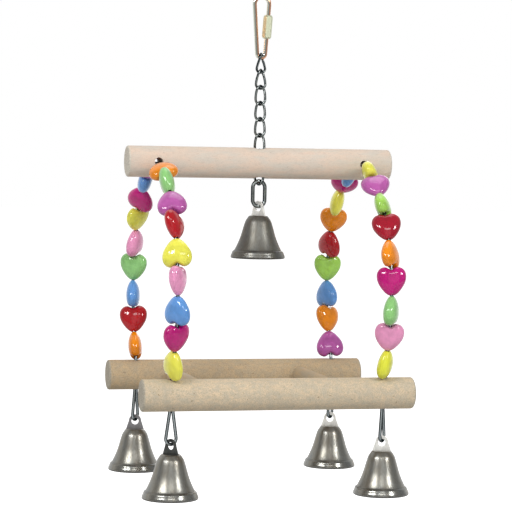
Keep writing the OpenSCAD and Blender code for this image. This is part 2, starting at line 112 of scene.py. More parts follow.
# Twist of a link from end to end
LINK_TWIST = math.pi / 2

# Depth of a heart's cleft and point, and lift of its lobes, as in the solids: shares of half its width
CLEFT_SHARE, LIFT_SHARE = 0.90, 0.68

# Right half of a heart from its cleft to its point, as shares of half its width: out and up
HEART_HALF = ((0, 0.86), (0.17, 0.96), (0.45, 1.09), (0.75, 0.985), (0.945, 0.74), (1.0, 0.42),
              (0.935, 0.07), (0.76, -0.27), (0.52, -0.585), (0.33, -0.755), (0.17, -0.838),
              (0, -0.86))
# Where the dome of a heart's face is highest, as a share of half its width above the middle
HEART_CROWN = 0.25
# Half width and half height of the oval that a face nears at its crown
HEART_OVAL = (0.97, 0.94)
# How squarely a heart's edge is rounded (2 is an ellipse): at its middle, and what its lobes have more
HEART_FULLNESS, LOBE_FULLNESS = 2.3, 0.2

# A bell's shell from its crown round the rim to its inside, as shares of the mouth's radius and the height
BELL_OUTSIDE = ((0, 0.012), (0.26, 0.012), (0.315, 0.010), (0.345, 0.002), (0.368, -0.016),
                (0.39, -0.035), (0.415, -0.058), (0.445, -0.085), (0.47, -0.115), (0.492, -0.15),
                (0.512, -0.19), (0.535, -0.24), (0.562, -0.30), (0.592, -0.37), (0.627, -0.45),
                (0.668, -0.53), (0.71, -0.60), (0.757, -0.67), (0.80, -0.73), (0.835, -0.775),
                (0.862, -0.805), (0.875, -0.815), (0.892, -0.821), (0.92, -0.833), (0.943, -0.857),
                (0.954, -0.88), (0.963, -0.90), (0.98, -0.92), (0.994, -0.945), (1.0, -0.972),
                (0.994, -0.99), (0.972, -1.0), (0.942, -0.995))
BELL_INSIDE = ((0.928, -0.97), (0.905, -0.93), (0.853, -0.86), (0.80, -0.79), (0.771, -0.74),
               (0.757, -0.70), (0.705, -0.61), (0.645, -0.535), (0.57, -0.40), (0.50, -0.27),
               (0.45, -0.18), (0.40, -0.125), (0.33, -0.085), (0.2, -0.065), (0, -0.06))
# The crease over a bell's lip, where shade is painted, and where the lip's polish and the painted shade along
# the rim begin and are full, as shares of the shell's height below its crown
BELL_CREASE, BELL_LIP, BELL_RIM = 0.819, (0.80, 0.84), (0.962, 0.992)
# Radius and legs of the staple in a bell, in thicknesses of its wall, and the share of an ear's sheet that
# its rounded edge takes
STAPLE_RADIUS, STAPLE_LEG, EAR_EDGE = 1.5, 0.7, 0.12
# Each plating: stretch of its streaks along Z, scales of streaks and blotches, roughness, shares of their
# colours, height of the relief in mm, and tone of the rim
PLATINGS = {
    "Plated Wire": (0.15, 900.0, 420.0, 0.2, 0.3, 0.2, 0.02, 0.15),
    "Chain Nickel": (0.5, 700.0, 520.0, 0.2, 0.6, 0.3, 0.02, 0.15),
    "Hanger Steel": (0.08, 800.0, 300.0, 0.12, 0.3, 0.15, 0.02, 0.9),
    "Sleeve Steel": (0.3, 900.0, 320.0, 0.34, 0.3, 0.1, 0.004, 0.6),
    "Bright Ear Nickel With Painted Light": (0.4, 900.0, 420.0, 0.55, 0.4, 0.1, 0.02, 1.0),
    "Grey Ear Nickel With Painted Light": (0.4, 900.0, 420.0, 0.5, 0.4, 0.1, 0.02, 1.0),
    "Dark Ear Nickel With Painted Light": (0.4, 900.0, 420.0, 0.4, 0.4, 0.1, 0.02, 1.0),
    "Clapper Nickel": (0.5, 500.0, 240.0, 0.3, 0.7, 0.5, 0.02, 1.0),
}
# Places on the way round to the right of the hanger's wire, as shares of its radius: the ends of a band of
# painted dark reflection, and where the painted warm reflection begins and is full
DARK_REFLECTION_BAND, WARM_REFLECTION_FADE = (-0.3, 0.0), (0.1, 0.35)
# Where the painted shade on the sides of the other wires begins and is full, both ways from their middle
SIDE_SHADE_FADE = (0.1, 0.6)
# Where the sawn look of a dowel's end begins and is full, inward from the end
SAWN_FADE = (1.3 * MM, 0.3 * MM)

# Each wooden piece: its material, its colours (base, warm, cool, ends), the axis of its grain, the share of
# pores, the roughness of its saw marks and the place of its grain
WOODEN = {
    "beam": ("Beam Beech", "beam blush ash beam_end", 0, 0.2, 0.1, 0.3),
    "front_rail": ("Front Rail Wood", "rails sand stone rail_end", 0, 0.6, 1.0, 1.7),
    "back_rail": ("Back Rail Wood", "back_rail bark clay rail_end", 0, 0.6, 1.0, 4.1),
    "left_rung": ("Left Rung Wood", "rungs bark clay rail_end", 1, 0.3, 0.4, 2.2),
    "right_rung": ("Right Rung Wood", "rungs bark clay rail_end", 1, 0.3, 0.4, 5.9),
}

# The camera, fitted to the photo: it aims at a point below the beam's middle and a little to its left.
# Lengths in mm, angles in degrees, the focal length in widths of the picture
AIM_BELOW_BEAM, AIM_LEFT = 45.227, 0.822
CAMERA_DISTANCE, CAMERA_YAW, CAMERA_PITCH, CAMERA_ROLL = 1041.31, -13.7606, 2.8771, 0.9916
FOCAL_LENGTH, SENSOR_WIDTH = 2137.62 / 512, 36
# Lamps: place from the point below the beam, width and height, all in metres, and power in watts
LAMPS = (
    ("Front Softbox", (-0.18, -1.275, 0.18), 0.9, 0.75, 0.9),
    ("Key Softbox", (-0.12, -0.84, 0.53), 0.45, 0.12, 1.0),
    ("Left Lamp", (-0.62, -0.56, 0.52), 0.17, 0.17, 2.3),
    ("Outer Left Lamp", (-0.76, -0.38, 0.50), 0.12, 0.12, 1.2),
    ("Right Lamp", (0.50, -0.74, 0.42), 0.17, 0.17, 2.7),
    ("Top Softbox", (0.1, 0.15, 0.8), 0.5, 0.5, 1.3),
    ("Back Softbox", (0.35, 0.8, 0.3), 0.4, 0.4, 1.0),
)
# Level of the floor's own light, and how far behind the swing its reflection begins and is full, in metres
FLOOR_LIGHT, FLOOR_BACKDROP = 0.86, (-0.6, 1.5)
# The same for the light from all round, by how far a ray points to the back
WORLD_BACKDROP = (-0.1, 0.5)


def length(name, description, default):
    return FloatProperty(name=name, description=description, default=default * MM, unit="LENGTH",
                         subtype="DISTANCE", precision=5)


def share(name, description, default):
    return FloatProperty(name=name, description=description, default=default, min=0.0, max=1.0,
                         subtype="FACTOR")


def colour(name, description, red, green, blue):
    return FloatVectorProperty(name=name, description=description, size=3, min=0.0, max=1.0,
                               default=(red / 255, green / 255, blue / 255), subtype="COLOR_GAMMA")


class WoodSettings(bpy.types.PropertyGroup):
    beam: colour("Beam", "Smooth beech of the beam", 216, 201, 186)
    rails: colour("Rails", "Rough wood of the perch rails", 214, 198, 171)
    rungs: colour("Rungs", "Wood of the thin rungs", 190, 170, 140)
    blush: colour("Blush", "Warm patches of the beam", 228, 200, 178)
    ash: colour("Ash", "Cool patches of the beam", 206, 198, 186)
    sand: colour("Sand", "Warm patches of the rails", 228, 203, 168)
    stone: colour("Stone", "Cool patches of the rails", 190, 180, 160)
    back_rail: colour("Back rail", "Darker wood of the back rail", 200, 177, 144)
    bark: colour("Bark", "Warm patches of the back rail", 202, 172, 132)
    clay: colour("Clay", "Cool patches of the back rail", 172, 158, 134)
    fleck: colour("Flecks", "Short dark pores in the wood", 118, 92, 68)
    beam_end: colour("Beam ends", "Sawn ends of the beam", 206, 200, 186)
    rail_end: colour("Rail ends", "Sawn ends of the rails", 172, 166, 152)
    grain_depth: length("Grain depth", "Height of the wood's relief", 0.12)


class WireSettings(bpy.types.PropertyGroup):
    diameter: length("Wire", "Diameter of the bead wires", 1.6)
    lean: FloatProperty(name="Lean", description="Outward lean of a strand above its rail",
                        default=math.radians(24), subtype="ANGLE")
    foot: length("Foot", "Straight stretch above the rail", 12)
    loop_length: length("Loop", "Length of a bell loop below its rail", 16.1)
    loop_width: length("Loop width", "Overall width of a bell loop", 7)
    tint: colour("Steel", "Bright plated steel", 186, 190, 184)
    dark: colour("Wire steel", "Plate of the bead wires", 176, 184, 186)
    # Painted shade on the sides of the wires and links and inside the beam's holes, and the hanger's painted
    # dark reflection
    shade_and_dark_reflection: colour("Painted shade", "Painted shade on the wires' and links' sides and in the beam's holes, and painted dark reflection on the hanger", 44, 54, 58)
    warm: colour("Warm streak", "Copper-brown streak in the plating", 150, 118, 92)
    # Painted warm reflection on the hanger's right side
    painted_warm_reflection: colour("Warm reflection", "Painted warm reflection on the hanger's right side", 228, 172, 138)
    pale: colour("Pale plate", "Pale plate of the hanger", 236, 240, 226)
    brass: colour("Pale brass", "Pale yellowish plate of the screw sleeve", 222, 226, 196)


class BeadSettings(bpy.types.PropertyGroup):
    width: length("Width", "Width of a heart across its lobes", 13.9)
    thickness: length("Thickness", "Thickness of a heart", 6.9)
    bore: length("Bore", "Hole from cleft to point", 2.6)
    snug_bore: length("Snug bore", "Hole as it shows round the wire", 2.1)
    gap: length("Gap", "Gap between two points that face each other", 0.35)
    nest: length("Nest", "How far two facing clefts nest", 0.9)
    lift: length("Lift", "Height of the last bead above its rail", 0.9)
    orange: colour("Orange", "Orange hearts", 232, 134, 0)
    mint: colour("Mint", "Mint hearts", 136, 194, 116)
    lime: colour("Lime", "Lime hearts", 158, 208, 86)
    orchid: colour("Orchid", "Orchid hearts", 178, 86, 160)
    magenta: colour("Magenta", "Magenta hearts", 184, 0, 112)
    red: colour("Red", "Red hearts", 172, 4, 20)
    dark_red: colour("Dark red", "Dark red hearts", 156, 0, 32)
    yellow: colour("Yellow", "Yellow hearts", 228, 224, 80)
    lemon: colour("Lemon", "Greenish yellow hearts", 216, 218, 56)
    pink: colour("Pink", "Pink hearts", 226, 146, 186)
    blue: colour("Blue", "Blue hearts", 94, 148, 212)


class ChainSettings(bpy.types.PropertyGroup):
    length: length("Link length", "Overall length of a link", 10.3)
    width: length("Link width", "Overall width of a link", 5.8)
    wire: length("Link wire", "Wire of the links", 1.2)
    ring_height: length("Ring height", "Overall height of the centre ring", 14.2)
    ring_width: length("Ring width", "Overall width of the centre ring", 8.2)
    ring_wire: length("Ring wire", "Wire of the centre ring", 1.85)
    ring_turn: FloatProperty(name="Ring turn", description="Turn of the centre ring",
                             default=math.radians(10), subtype="ANGLE")
    first_turn: FloatProperty(name="First turn", description="Turn of the first link",
                              default=math.radians(40), subtype="ANGLE")
    last_turn: FloatProperty(name="Last turn", description="Turn of the last link",
                             default=math.radians(-28), subtype="ANGLE")
    nickel: colour("Nickel", "Dark nickel plate", 150, 156, 154)
    # Painted glints, put in random blotches on the links
    glint: colour("Glint", "Painted glints in random blotches", 206, 206, 198)


class HangerSettings(bpy.types.PropertyGroup):
    height: length("Height", "Overall height of the hanger link", 31.5)
    top_width: length("Top width", "Overall width at the top", 9.3)
    foot_width: length("Foot width", "Overall width at the foot", 6.1)
    wire: length("Wire", "Wire of the hanger", 2.1)
    sleeve_length: length("Sleeve", "Length of the screw sleeve", 11.3)
    sleeve_drop: length("Sleeve drop", "From the top to the sleeve's middle", 15.6)
    opening: length("Opening", "Gap that the sleeve covers", 3)


class BellSettings(bpy.types.PropertyGroup):
    mouth: length("Mouth", "Diameter of the mouth", 26.5)
    height: length("Height", "Height of the shell", 20.5)
    wall: length("Wall", "Thickness of the wall", 0.9)
    ear_foot: length("Ear foot", "Width of the ear at the crown", 9.3)
    ear_top: length("Ear top", "Width of the ear's rounded top", 6.2)
    ear_height: length("Ear height", "Height of the ear", 7.4)
    ear_sheet: length("Ear sheet", "Thickness of the ear", 0.8)
    ear_hole_up: length("Ear hole height", "Height of the ear's hole", 4.1)
    ear_hole: length("Ear hole", "Diameter of the ear's hole", 3.6)
    pewter: colour("Pewter", "Dark pewter of the shells", 148, 148, 142)
    shade: colour("Shade", "Dark streaks of the shells", 112, 107, 98)
    olive: colour("Olive", "Brown-olive cast of the plating", 136, 122, 98)
    steel_blue: colour("Steel blue", "Cool cast of the plating", 136, 145, 152)
    # Painted shade in a bell's crease and along its rim, and the dark tone of the whole shell
    dark_and_painted_shade: colour("Dark tone and painted shade", "Dark line in the crease and along the rim", 46, 44, 42)
    # The ears' plate in lit and shaded copies: lit and bright, and grey and dark with painted shade
    ear_bright: colour("Bright ear", "Lit copy of the ears' plate", 250, 249, 244)
    ear_grey: colour("Grey ear", "Painted shade on the back left bell's ear", 148, 146, 148)
    ear_dark: colour("Dark ear", "Painted shade on the front left bell's ear", 84, 86, 84)


class StageSettings(bpy.types.PropertyGroup):
    floor_drop: length("Floor", "Floor's depth below the bells", 45)
    floor_size: FloatProperty(name="Floor size", description="Width of the floor", default=12.0,
                              unit="LENGTH", subtype="DISTANCE")
    world_light: share("World", "Level of the light from all round", 0.45)
    room_light: share("Room", "Level of the room in front of the backdrop, as metal shows it", 0.05)


def settings(name):
    return getattr(bpy.context.scene, "swing_" + name)


def toned(value, level):
    """A colour made lighter or darker by a factor."""
    return [min(1.0, c * level) for c in value]


def linear(value, level=1.0):
    """A display colour, lighter or darker by level, as the linear values that a shader socket takes."""
    def one(c):
        return c / 12.92 if c <= 0.04045 else ((c + 0.055) / 1.055) ** 2.4
    return tuple(one(c) for c in toned(value, level)) + (1.0,)


# Mesh making


def arc(centre, radius, start, end, steps):
    """Points of an arc in a plane, angles in radians, both ends included."""
    return [Vector((centre[0] + radius * math.cos(start + (end - start) * i / steps),
                    centre[1] + radius * math.sin(start + (end - start) * i / steps)))
            for i in range(steps + 1)]


def smooth_curve(points, steps):
    """Points of a smooth curve through the given points, with a number of steps for each stretch."""
    made = []
    for i in range(len(points) - 1):
        before = points[i - 1] if i else Vector((-points[1].x, points[1].y))
        a, b = points[i], points[i + 1]
        after = points[i + 2] if i + 2 < len(points) else Vector((-points[-2].x, points[-2].y))
        for j in range(steps):
            t = j / steps
            made.append(0.5 * ((2 * a) + (b - before) * t + (2 * before - 5 * a + 4 * b - after) * t ** 2
                               + (3 * a - before - 3 * b + after) * t ** 3))
    return made + [points[-1]]


def finish_mesh(bm, name, sharp=35):
    bmesh.ops.recalc_face_normals(bm, faces=bm.faces)
    mesh = bpy.data.meshes.new(name)
    bm.to_mesh(mesh)
    bm.free()
    mesh.polygons.foreach_set("use_smooth", [True] * len(mesh.polygons))
    mesh.set_sharp_from_angle(angle=math.radians(sharp))
    return mesh


def sweep(bm, points, radius, sides=16, closed=False, ups=None):
    """Adds a round wire along the points; ups give each ring's first side if stated."""
    count = len(points)
    rings = []
    up = None
    for i, point in enumerate(points):
        if closed:
            direction = (points[(i + 1) % count] - points[i - 1]).normalized()
        else:
            direction = (points[min(i + 1, count - 1)] - points[max(i - 1, 0)]).normalized()
        if ups:
            up = ups[i]
        elif up is None:
            up = direction.orthogonal()
        up = (up - up.dot(direction) * direction).normalized()
        side = direction.cross(up)
        rings.append([bm.verts.new(point + radius * (math.cos(2 * math.pi * j / sides) * up
                                                     + math.sin(2 * math.pi * j / sides) * side))
                      for j in range(sides)])
    for i in range(count if closed else count - 1):
        a, b = rings[i], rings[(i + 1) % count]
        for j in range(sides):
            k = (j + 1) % sides
            bm.faces.new((a[j], a[k], b[k], b[j]))
    if not closed:
        bm.faces.new(rings[0])
        bm.faces.new(list(reversed(rings[-1])))


def turned(bm, profile, segments=72):
    """Adds a turned shape; profile is a list of radius and height from axis to axis."""
    rings = []
    for radius, height in profile:
        if radius < 1e-7:
            rings.append([bm.verts.new((0, 0, height))])
        else:
            rings.append([bm.verts.new((radius * math.cos(2 * math.pi * j / segments),
                                        radius * math.sin(2 * math.pi * j / segments), height))
                          for j in range(segments)])
    for a, b in zip(rings, rings[1:]):
        for j in range(segments):
            k = (j + 1) % segments
            if len(a) == 1:
                bm.faces.new((a[0], b[k], b[j]))
            elif len(b) == 1:
                bm.faces.new((a[j], a[k], b[0]))
            else:
                bm.faces.new((a[j], a[k], b[k], b[j]))


def add_object(name, mesh, look, node, matrix=None):
    """Adds a piece in place of a node of the frame, on that node's body."""
    obj = bpy.data.objects.new(name, mesh)
    bpy.context.scene.collection.objects.link(obj)
    if matrix is not None:
        obj.matrix_world = matrix
    if not mesh.materials:
        mesh.materials.append(look)
    obj.material_slots[0].link = "OBJECT"
    obj.material_slots[0].material = look
    bpy.context.view_layer.update()
    body = body_of_node(node)
    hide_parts(node)
    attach(obj, body)


def dress(node, look):
    """Gives a node's own solid its material."""
    materials = frame["nodes"][node].data.materials
    materials.clear()
    materials.append(look)


def body_of_node(node):
    for body, nodes in frame["record"]["behaviour"]["bodies"].items():
        if node in nodes:
            return body
    raise RuntimeError("no body holds " + node)


def middle(node):
    low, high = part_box(node)
    return Vector([(a + b) / 2 for a, b in zip(low, high)])


def joint(name):
    for j in frame["record"]["behaviour"]["joints"]:
        if j["name"] == name:
            return j
    raise RuntimeError("no joint " + name)


# Shader helpers


class Nodes:
    """Short way to add and link nodes in one tree."""

    def __init__(self, tree):
        self.tree = tree

    def set(self, socket, value):
        """Links a socket to another one, or gives it a plain value."""
        if isinstance(value, bpy.types.NodeSocket):
            self.tree.links.new(value, socket)
        else:
            socket.default_value = value

    def add(self, kind, inputs=None, **choices):
        node = self.tree.nodes.new(kind)
        for key, value in choices.items():
            setattr(node, key, value)
        for key, value in (inputs or {}).items():
            self.set(node.inputs[key], value)
        return node

    def math(self, operation, a, b=0.0):
        return self.add("ShaderNodeMath", {0: a, 1: b}, operation=operation).outputs[0]

    def plus(self, a, b):
        return self.math("ADD", a, b)

    def minus(self, a, b):
        return self.math("SUBTRACT", a, b)

    def times(self, a, b):
        return self.math("MULTIPLY", a, b)

    def larger(self, a, b):
        return self.math("MAXIMUM", a, b)

    def mix(self, factor, a, b):
        return self.add("ShaderNodeMix", {"Factor": factor, 6: a, 7: b}, data_type="RGBA").outputs[2]

    def ramp(self, factor, low, high):
        return self.add("ShaderNodeMapRange", {0: factor, 1: low, 2: high}, interpolation_type="SMOOTHSTEP",
                        clamp=True).outputs[0]

    def noise(self, vector, scale, detail=3.0, roughness=0.5, distortion=0.0):
        return self.add("ShaderNodeTexNoise", {"Vector": vector, "Scale": scale, "Detail": detail,
                                               "Roughness": roughness,
                                               "Distortion": distortion}).outputs["Fac"]

    def vector(self, operation, a, b):
        return self.add("ShaderNodeVectorMath", {0: a, 1: b}, operation=operation).outputs

    def axes(self, vector):
        return self.add("ShaderNodeSeparateXYZ", {0: vector}).outputs

    def group(self, name, maker, inputs):
        """Outputs of a shared group, which its maker builds when it's first used."""
        tree = bpy.data.node_groups.get(name) or maker(name)
        return self.add("ShaderNodeGroup", inputs, node_tree=tree).outputs

    def bump(self, height, distance, strength):
        return self.add("ShaderNodeBump", {"Height": height, "Distance": distance,
                                           "Strength": strength}).outputs[0]


def new_group(name, inputs, outputs):
    """A node group with float inputs, or vector inputs where no default is given, and float outputs."""
    tree = bpy.data.node_groups.new(name, "ShaderNodeTree")
    for label, default in inputs.items():
        kind = "NodeSocketVector" if default is None else "NodeSocketFloat"
        socket = tree.interface.new_socket(label, in_out="INPUT", socket_type=kind)
        if default is not None:
            socket.default_value = default
    for label in outputs:
        tree.interface.new_socket(label, in_out="OUTPUT", socket_type="NodeSocketFloat")
    n = Nodes(tree)
    return tree, n, n.add("NodeGroupInput").outputs, n.add("NodeGroupOutput").inputs


def wood_grain_group(name):
    """Soft mottle, short flecks, dark pores and relief of a dowel with fine grain."""
    tree, n, given, out = new_group(
        name, {"Vector": None, "Mottle Scale": 260.0, "Fleck Scale": 1400.0, "Pore Share": 0.3},
        ("Mottle", "Flecks", "Pores", "Relief"))
    mottle = n.noise(given["Vector"], given["Mottle Scale"], detail=4.0, roughness=0.6)
    flecks = n.noise(given["Vector"], given["Fleck Scale"], detail=3.0, roughness=0.7)
    pits = n.noise(given["Vector"], n.times(given["Fleck Scale"], 0.62), detail=1.0, roughness=0.5)
    threshold = n.minus(0.80, n.times(given["Pore Share"], 0.10))
    pores = n.ramp(pits, threshold, n.plus(threshold, 0.04))
    n.set(out["Mottle"], n.ramp(mottle, 0.32, 0.68))
    n.set(out["Flecks"], n.ramp(flecks, 0.50, 0.70))
    n.set(out["Pores"], pores)
    n.set(out["Relief"], n.minus(n.times(flecks, 0.8), n.times(pores, 0.6)))
    return tree


def plating_group(name):
    """Uneven plated metal: streaks along one direction, blotches and fine relief."""
    tree, n, given, out = new_group(name, {"Vector": None, "Streak Scale": 500.0, "Blotch Scale": 220.0},
                                    ("Streaks", "Blotches", "Relief"))
    streaks = n.noise(given["Vector"], given["Streak Scale"], detail=4.0, roughness=0.55)
    blotches = n.noise(given["Vector"], given["Blotch Scale"], detail=3.0, roughness=0.6)
    n.set(out["Streaks"], n.ramp(streaks, 0.36, 0.66))
    n.set(out["Blotches"], n.ramp(blotches, 0.42, 0.68))
    n.set(out["Relief"], n.plus(n.times(streaks, 0.7), n.times(blotches, 0.3)))
    return tree


def moulded_group(name):
    """Slight flow marks of moulded plastic, and the line where the mould's halves met, across Y."""
    tree, n, given, out = new_group(name, {"Vector": None, "Flow Scale": 160.0, "Seam Width": 0.0001},
                                    ("Flow", "Seam", "Relief"))
    flow = n.noise(given["Vector"], given["Flow Scale"], detail=3.0, roughness=0.55, distortion=0.6)
    fine = n.noise(given["Vector"], n.times(given["Flow Scale"], 9.0), detail=2.0)
    distance = n.math("ABSOLUTE", n.axes(given["Vector"])[1])
    seam = n.minus(1.0, n.ramp(distance, 0.0, given["Seam Width"]))
    n.set(out["Flow"], flow)
    n.set(out["Seam"], seam)
    n.set(out["Relief"], n.plus(n.plus(n.times(flow, 0.6), n.times(fine, 0.02)), n.times(seam, 0.5)))
    return tree


def material(name, **constants):
    """A material, its node helper, its shader's sockets and its object coordinates."""
    made = bpy.data.materials.new(name)
    made.use_nodes = True
    n = Nodes(made.node_tree)
    shader = made.node_tree.nodes["Principled BSDF"].inputs
    for label, value in constants.items():
        shader[label.replace("_", " ")].default_value = value
    return made, n, shader, n.add("ShaderNodeTexCoord").outputs["Object"]


def wood_material(name, tints, along, pores, rough, place, half_length):
    """Bare wood with its grain along one axis: 0 for X, 1 for Y."""
    wood = settings("wood")
    base, warm, cool, sawn = (getattr(wood, tint) for tint in tints.split())
    made, n, shader, coords = material(name, Specular_IOR_Level=0.2)
    stretch = [1.0, 1.0, 1.0]
    stretch[along] = 0.25 + 0.55 * rough
    vector = n.vector("ADD", n.vector("MULTIPLY", coords, stretch)[0], (place, place * 0.7, place * 1.3))[0]
    grain = n.group("Wood Grain", wood_grain_group,
                    {"Vector": vector, "Mottle Scale": 240.0 + 160.0 * rough, "Fleck Scale": 1500.0,
                     "Pore Share": pores})
    broad = n.ramp(n.noise(vector, 70.0, detail=2.0), 0.35, 0.65)
    sanded = n.ramp(n.noise(coords, 2300.0, detail=2.0, roughness=0.6), 0.42, 0.62)
    tone = n.mix(0.6, linear(base), n.mix(grain["Mottle"], linear(cool), linear(warm)))
    for mask, share_of, colour_of in (
            (sanded, 0.16 + 0.3 * rough, linear(cool, 0.82)),
            (broad, 0.22, linear(cool, 0.93)),
            (grain["Flecks"], 0.30 + 0.28 * rough, linear(warm, 0.80)),
            (grain["Pores"], 0.45 + 0.3 * rough, linear(wood.fleck))):
        tone = n.mix(n.times(mask, share_of), tone, colour_of)
    fibres = n.ramp(n.noise(coords, 1300.0, detail=5.0, roughness=0.75), 0.35, 0.65)
    ends = n.ramp(n.math("ABSOLUTE", n.axes(coords)[along]), *(half_length - fade for fade in SAWN_FADE))
    tone = n.mix(n.times(ends, 0.85), tone, n.mix(fibres, linear(sawn, 0.84), linear(sawn, 1.10)))
    n.set(shader["Base Color"], tone)
    n.set(shader["Roughness"], n.plus(0.66, n.times(grain["Mottle"], 0.2)))
    n.set(shader["Normal"], n.bump(grain["Relief"], wood.grain_depth, 0.35 + 0.5 * rough))
    return made


def metal_material(name, base, streak, bright, painted_side_shade=False, shade_above=None, warm_reflection_right=False):
    """Plated metal with streaks and bright blotches.

    The arguments after its colours give painted shade on its left and right sides; the height from
    which painted shade covers it, as inside the beam's hole; and a painted warm reflection on its right
    side behind a band of painted dark reflection."""
    stretch, streak_scale, blotch_scale, roughness, streaks, blotches, relief, rim = PLATINGS[name]
    wire = settings("wire")
    made, n, shader, coords = material(name, Metallic=1.0, Specular_Tint=(rim, rim, rim, 1))
    plate = n.group("Plating", plating_group,
                    {"Vector": n.vector("MULTIPLY", coords, (1, 1, stretch))[0],
                     "Streak Scale": streak_scale, "Blotch Scale": blotch_scale})
    tone = n.mix(n.times(plate["Streaks"], streaks), linear(base), linear(streak))
    tone = n.mix(n.times(plate["Blotches"], blotches), tone, linear(bright))
    rough = n.plus(roughness, n.times(plate["Streaks"], 0.06))
    if painted_side_shade or warm_reflection_right:
        normal = n.add("ShaderNodeTexCoord").outputs["Normal"]
        side = n.vector("DOT_PRODUCT", normal, ACROSS)["Value"]
    # Painted shade on the sides that face across the camera's view
    if painted_side_shade:
        cover = n.ramp(n.math("ABSOLUTE", side), *SIDE_SHADE_FADE)
        # Painted shade on the wire inside the beam's hole, which is rougher there too
        if shade_above is not None:
            hole_shade = n.ramp(n.axes(coords)[2], shade_above, shade_above + MM)
            cover = n.larger(cover, hole_shade)
            rough = n.plus(rough, n.times(hole_shade, 0.35))
        tone = n.mix(n.times(cover, 0.9), tone, linear(wire.shade_and_dark_reflection))
    # A band of painted dark reflection, then a painted warm reflection on the right side
    if warm_reflection_right:
        tone = n.mix(n.times(n.ramp(side, *DARK_REFLECTION_BAND), 0.8), tone, linear(wire.shade_and_dark_reflection))
        tone = n.mix(n.times(n.ramp(side, *WARM_REFLECTION_FADE), 0.9), tone, linear(wire.painted_warm_reflection))
    n.set(shader["Base Color"], tone)
    n.set(shader["Roughness"], rough)
    n.set(shader["Normal"], n.bump(plate["Relief"], relief * MM, 0.6))
    return made


def bell_material(name, roughness, depth):
    """Brushed pewter with brown and blue patches, polished at the lip, painted shade in the crease and at the
    rim.

    depth is the share of the dark tone all over."""
    bell = settings("bells")
    made, n, shader, coords = material(name, Metallic=1.0)
    brushed = n.group("Plating", plating_group, {"Vector": n.vector("MULTIPLY", coords, (1, 1, 0.05))[0],
                                                 "Streak Scale": 1700.0, "Blotch Scale": 900.0})
    patches = n.group("Plating", plating_group, {"Vector": n.vector("MULTIPLY", coords, (1, 1, 0.35))[0],
                                                 "Streak Scale": 130.0, "Blotch Scale": 190.0})
    height = n.axes(coords)[2]
    lip, rim = (n.ramp(height, *(-down * bell.height for down in ends)) for ends in (BELL_LIP, BELL_RIM))
    crease = n.ramp(n.math("ABSOLUTE", n.plus(height, BELL_CREASE * bell.height)), 0.7 * MM, 0.0)
    tone = n.mix(n.times(patches["Streaks"], 0.55), linear(bell.pewter), linear(bell.olive))
    tone = n.mix(n.times(patches["Blotches"], 0.4), tone, linear(bell.steel_blue))
    tone = n.mix(n.times(brushed["Streaks"], 0.35), tone, linear(bell.shade))
    tone = n.mix(depth, tone, linear(bell.dark_and_painted_shade))
    # Painted shade in the crease over the lip and along the rim
    tone = n.mix(n.larger(n.times(crease, 0.4), n.times(rim, 0.85)), tone, linear(bell.dark_and_painted_shade))
    n.set(shader["Base Color"], tone)
    rough = n.plus(roughness, n.times(brushed["Streaks"], 0.02))
    n.set(shader["Roughness"], n.minus(rough, n.times(lip, 0.08)))
    relief = n.times(brushed["Relief"], n.minus(1.0, n.times(lip, 0.9)))
    n.set(shader["Normal"], n.bump(relief, 0.002 * MM, 0.5))
    return made


def bead_material(name, value):
    """Glossy moulded plastic with a thin clear coat."""
    made, n, shader, coords = material(name, Specular_IOR_Level=0.33, Coat_Weight=0.45, Coat_Roughness=0.04)
    mould = n.group("Moulded Plastic", moulded_group,
                    {"Vector": coords, "Flow Scale": 150.0, "Seam Width": 0.16 * MM})
    tone = n.mix(n.ramp(mould["Flow"], 0.35, 0.65), linear(value, 0.95),
                 linear([c * 1.04 + 0.01 for c in value]))
    n.set(shader["Base Color"], n.mix(n.times(mould["Seam"], 0.3), tone, linear(value, 0.82)))
    n.set(shader["Roughness"], n.plus(0.07, n.times(mould["Flow"], 0.08)))
    n.set(shader["Normal"], n.bump(mould["Relief"], 0.02 * MM, 0.15))
    return made


# The strands' course, as in the solids


